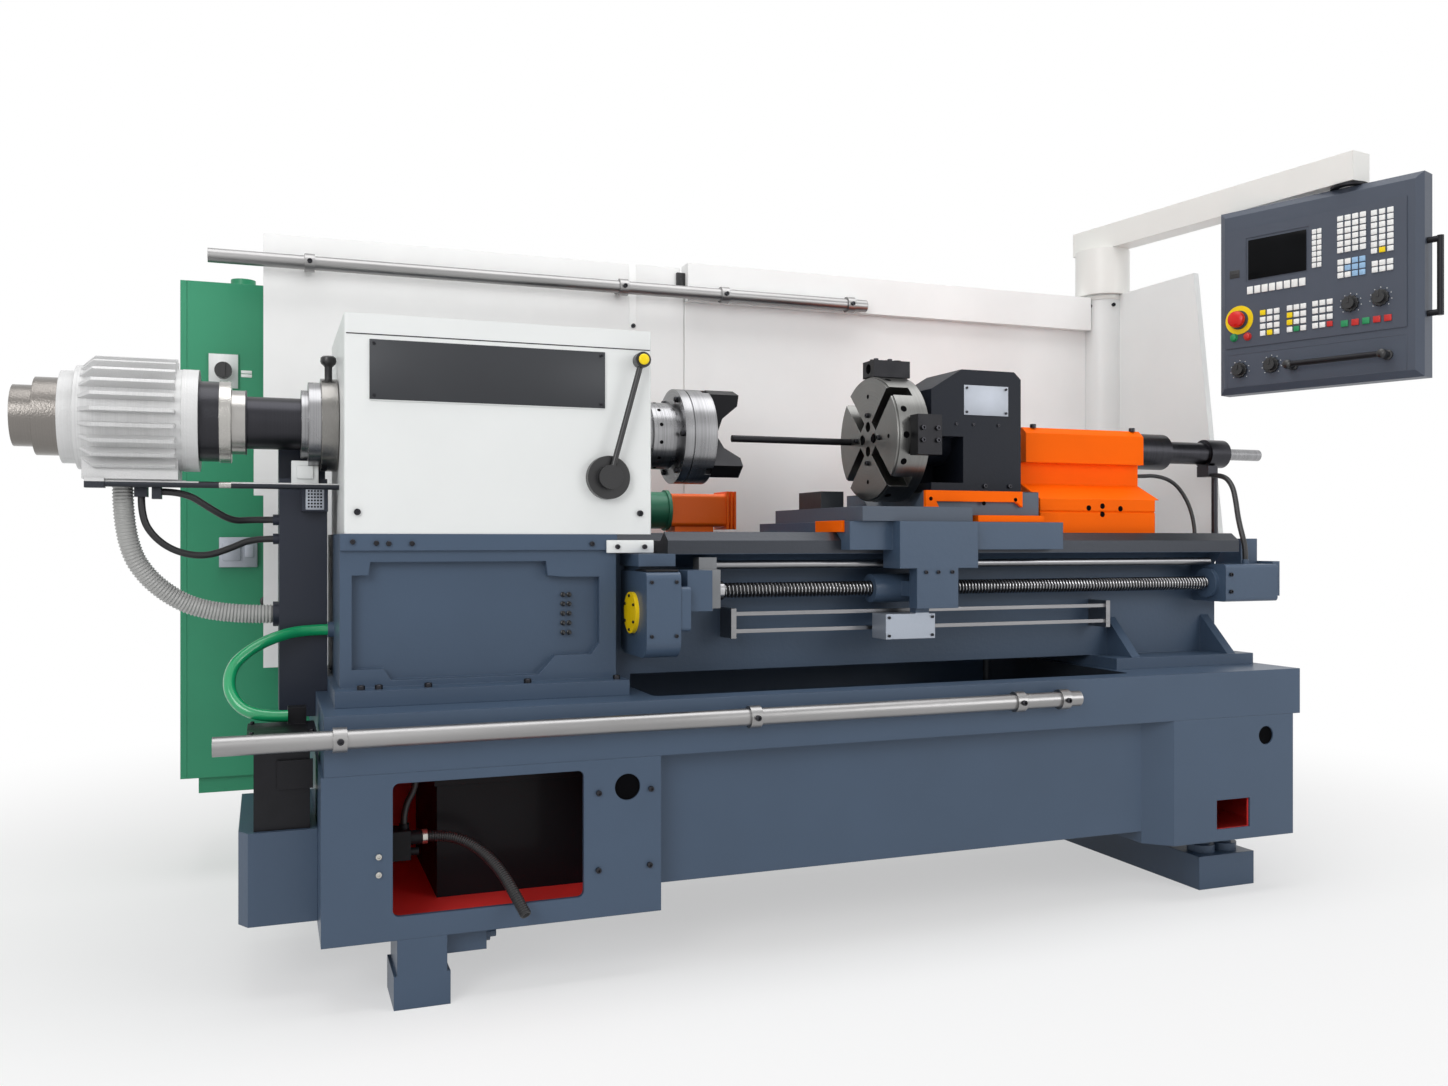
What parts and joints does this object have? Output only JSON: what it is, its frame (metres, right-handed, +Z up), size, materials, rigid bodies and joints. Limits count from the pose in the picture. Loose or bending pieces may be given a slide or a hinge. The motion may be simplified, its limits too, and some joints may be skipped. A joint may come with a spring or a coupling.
{
  "type": "numerically controlled turning lathe",
  "caption": "Floor-standing turning lathe on a welded stand, with a chuck and power actuator, tool turret, tailstock, swing-out control panel and a separate electrical cabinet behind.",
  "frame": {"origin": "on the floor under the middle of the whole machine, without its free hoses", "axes": "+X along the bed towards the tailstock, +Y from the operator to the back, +Z up"},
  "size_m": [3.7087, 1.7474, 2.17],
  "materials": {
    "base_paint": "blue-grey enamel",
    "light_paint": "light grey enamel",
    "arm_paint": "warm light grey enamel",
    "dark_paint": "dark blue-black enamel",
    "panel_paint": "dark grey textured enamel",
    "cabinet_paint": "green enamel",
    "orange_paint": "orange enamel",
    "navy_paint": "dark navy enamel",
    "cast_light": "light grey coated casting",
    "cast_iron": "machined and painted iron",
    "steel": "ground steel",
    "bright_steel": "bright turned steel",
    "black_steel": "blackened steel",
    "grey_plastic": "dark grey plastic keys",
    "black_plastic": "black moulded plastic",
    "red_plastic": "red moulded plastic",
    "hose_silver": "silver-grey ribbed hose",
    "hose_black": "black hose",
    "hose_green": "glossy green hose"
  },
  "bodies": {
    "stand": {"base_frame": "base_paint", "chip_tray": "base_paint", "left_feet": "base_paint", "right_foot": "base_paint", "base_tank": "dark_paint", "bed": "cast_iron", "headstock_casting": "base_paint", "spindle_bearings": "steel", "headstock_cover": "light_paint", "headstock_lid": "light_paint", "actuator_housing": "cast_light", "feed_gearbox": "base_paint", "end_bearing_block": "base_paint", "guide_bars": "steel", "front_rail_tube": "light_paint", "rear_rail_tube": "light_paint", "rear_shield": "light_paint", "panel_column": "light_paint", "electrical_cabinet": "cabinet_paint", "coolant_tank": "base_paint", "coolant_pump": "black_steel", "supply_column": "navy_paint", "rear_motor": "cabinet_paint", "drain_hose": "hose_silver", "pressure_hose_1": "hose_black", "pressure_hose_2": "hose_black", "coolant_hose": "hose_green", "base_hose_1": "hose_black", "base_hose_2": "hose_black"},
    "spindle": {"spindle": "bright_steel", "draw_tube": "black_steel", "chuck_body": "bright_steel"},
    "jaw_1": {"jaw_1": "black_steel"},
    "jaw_2": {"jaw_2": "black_steel"},
    "jaw_3": {"jaw_3": "black_steel"},
    "carriage": {"carriage": "base_paint", "wipers": "orange_paint"},
    "cross_slide": {"cross_slide": "base_paint", "slide_frame": "orange_paint", "turret_body": "dark_paint"},
    "turret": {"turret_disc": "steel", "turret_tools": "black_steel"},
    "screw": {"ball_screw": "bright_steel"},
    "tailstock": {"tailstock_body": "orange_paint", "tailstock_cylinder": "black_steel", "tailstock_hose_1": "hose_black", "tailstock_hose_2": "hose_black"},
    "quill": {"tailstock_quill": "bright_steel"},
    "lever": {"selector_lever": "black_plastic"},
    "arm": {"support_arm": "arm_paint"},
    "panel": {"control_panel": "panel_paint", "panel_keys": "grey_plastic", "panel_handles": "black_plastic"},
    "stop_button": {"emergency_stop": "red_plastic"},
    "override_1": {"override_knob_1": "black_plastic"},
    "override_2": {"override_knob_2": "black_plastic"},
    "selector_1": {"selector_knob_1": "black_plastic"},
    "selector_2": {"selector_knob_2": "black_plastic"},
    "door": {"cabinet_door": "cabinet_paint"},
    "switch": {"main_switch": "black_plastic"}
  },
  "joints": [
    {"name": "spindle_spin", "type": "hinge", "parent": "stand", "child": "spindle", "pos_m": [-0.22135, -0.28825, 1.28], "axis": [1, 0, 0], "continuous": true},
    {"name": "screw_spin", "type": "hinge", "parent": "stand", "child": "screw", "pos_m": [0.27865, -0.52625, 0.874], "axis": [1, 0, 0], "range_deg": [-8700, 1100]},
    {"name": "carriage_slide", "type": "slide", "parent": "stand", "child": "carriage", "axis": [1, 0, 0], "range_m": [-0.24, 0.03]},
    {"name": "cross_slide_slide", "type": "slide", "parent": "carriage", "child": "cross_slide", "axis": [0, -1, 0], "range_m": [-0.005, 0.12]},
    {"name": "turret_index", "type": "hinge", "parent": "cross_slide", "child": "turret", "pos_m": [0.27865, -0.39625, 1.28], "axis": [1, 0, 0], "continuous": true},
    {"name": "tailstock_slide", "type": "slide", "parent": "stand", "child": "tailstock", "axis": [1, 0, 0], "range_m": [-0.015, 0.24]},
    {"name": "quill_slide", "type": "slide", "parent": "tailstock", "child": "quill", "axis": [1, 0, 0], "range_m": [-0.15, 0]},
    {"name": "lever_turn", "type": "hinge", "parent": "stand", "child": "lever", "pos_m": [-0.56095, -0.57625, 1.151], "axis": [0, 1, 0], "range_deg": [-40, 20]},
    {"name": "arm_swivel", "type": "hinge", "parent": "stand", "child": "arm", "pos_m": [1.61265, 0.35375, 2], "axis": [0, 0, 1], "range_deg": [-60, 30]},
    {"name": "panel_swivel", "type": "hinge", "parent": "arm", "child": "panel", "pos_m": [1.75065, -0.62525, 2.075], "axis": [0, 0, 1], "range_deg": [-20, 60]},
    {"name": "stop_press", "type": "slide", "parent": "panel", "child": "stop_button", "axis": [0.9466, 0.3223, 0], "range_m": [0, 0.005], "stiffness_N_per_m": 400},
    {"name": "override_turn_1", "type": "hinge", "parent": "panel", "child": "override_1", "pos_m": [1.72408, -0.6558, 1.713], "axis": [-0.9466, -0.3223, 0], "range_deg": [0, 300]},
    {"name": "override_turn_2", "type": "hinge", "parent": "panel", "child": "override_2", "pos_m": [1.75163, -0.73672, 1.71776], "axis": [-0.9466, -0.3223, 0], "range_deg": [0, 300]},
    {"name": "selector_turn_1", "type": "hinge", "parent": "panel", "child": "selector_1", "pos_m": [1.61289, -0.32919, 1.55056], "axis": [-0.9466, -0.3223, 0], "range_deg": [-45, 45]},
    {"name": "selector_turn_2", "type": "hinge", "parent": "panel", "child": "selector_2", "pos_m": [1.64619, -0.427, 1.55592], "axis": [-0.9466, -0.3223, 0], "range_deg": [-45, 45]},
    {"name": "door_swing", "type": "hinge", "parent": "stand", "child": "door", "pos_m": [-1.56165, 0.47375, 1], "axis": [0, 0, 1], "range_deg": [0, 110]},
    {"name": "switch_turn", "type": "hinge", "parent": "stand", "child": "switch", "pos_m": [-1.44535, 0.45375, 1.499], "axis": [0, 1, 0], "range_deg": [0, 90]},
    {"name": "jaw_1_slide", "type": "slide", "parent": "spindle", "child": "jaw_1", "axis": [0, -0.342, 0.9397], "range_m": [-0.005, 0.01]},
    {"name": "jaw_2_slide", "type": "slide", "parent": "spindle", "child": "jaw_2", "axis": [0, -0.6428, -0.766], "range_m": [-0.005, 0.01]},
    {"name": "jaw_3_slide", "type": "slide", "parent": "spindle", "child": "jaw_3", "axis": [0, 0.9848, -0.1736], "range_m": [-0.005, 0.01]}
  ],
  "couplings": [
    {"joint": "jaw_2_slide", "follows": "jaw_1_slide", "ratio": 1},
    {"joint": "jaw_3_slide", "follows": "jaw_1_slide", "ratio": 1},
    {"joint": "screw_spin", "follows": "carriage_slide", "rad_per_m": 628.3}
  ]
}
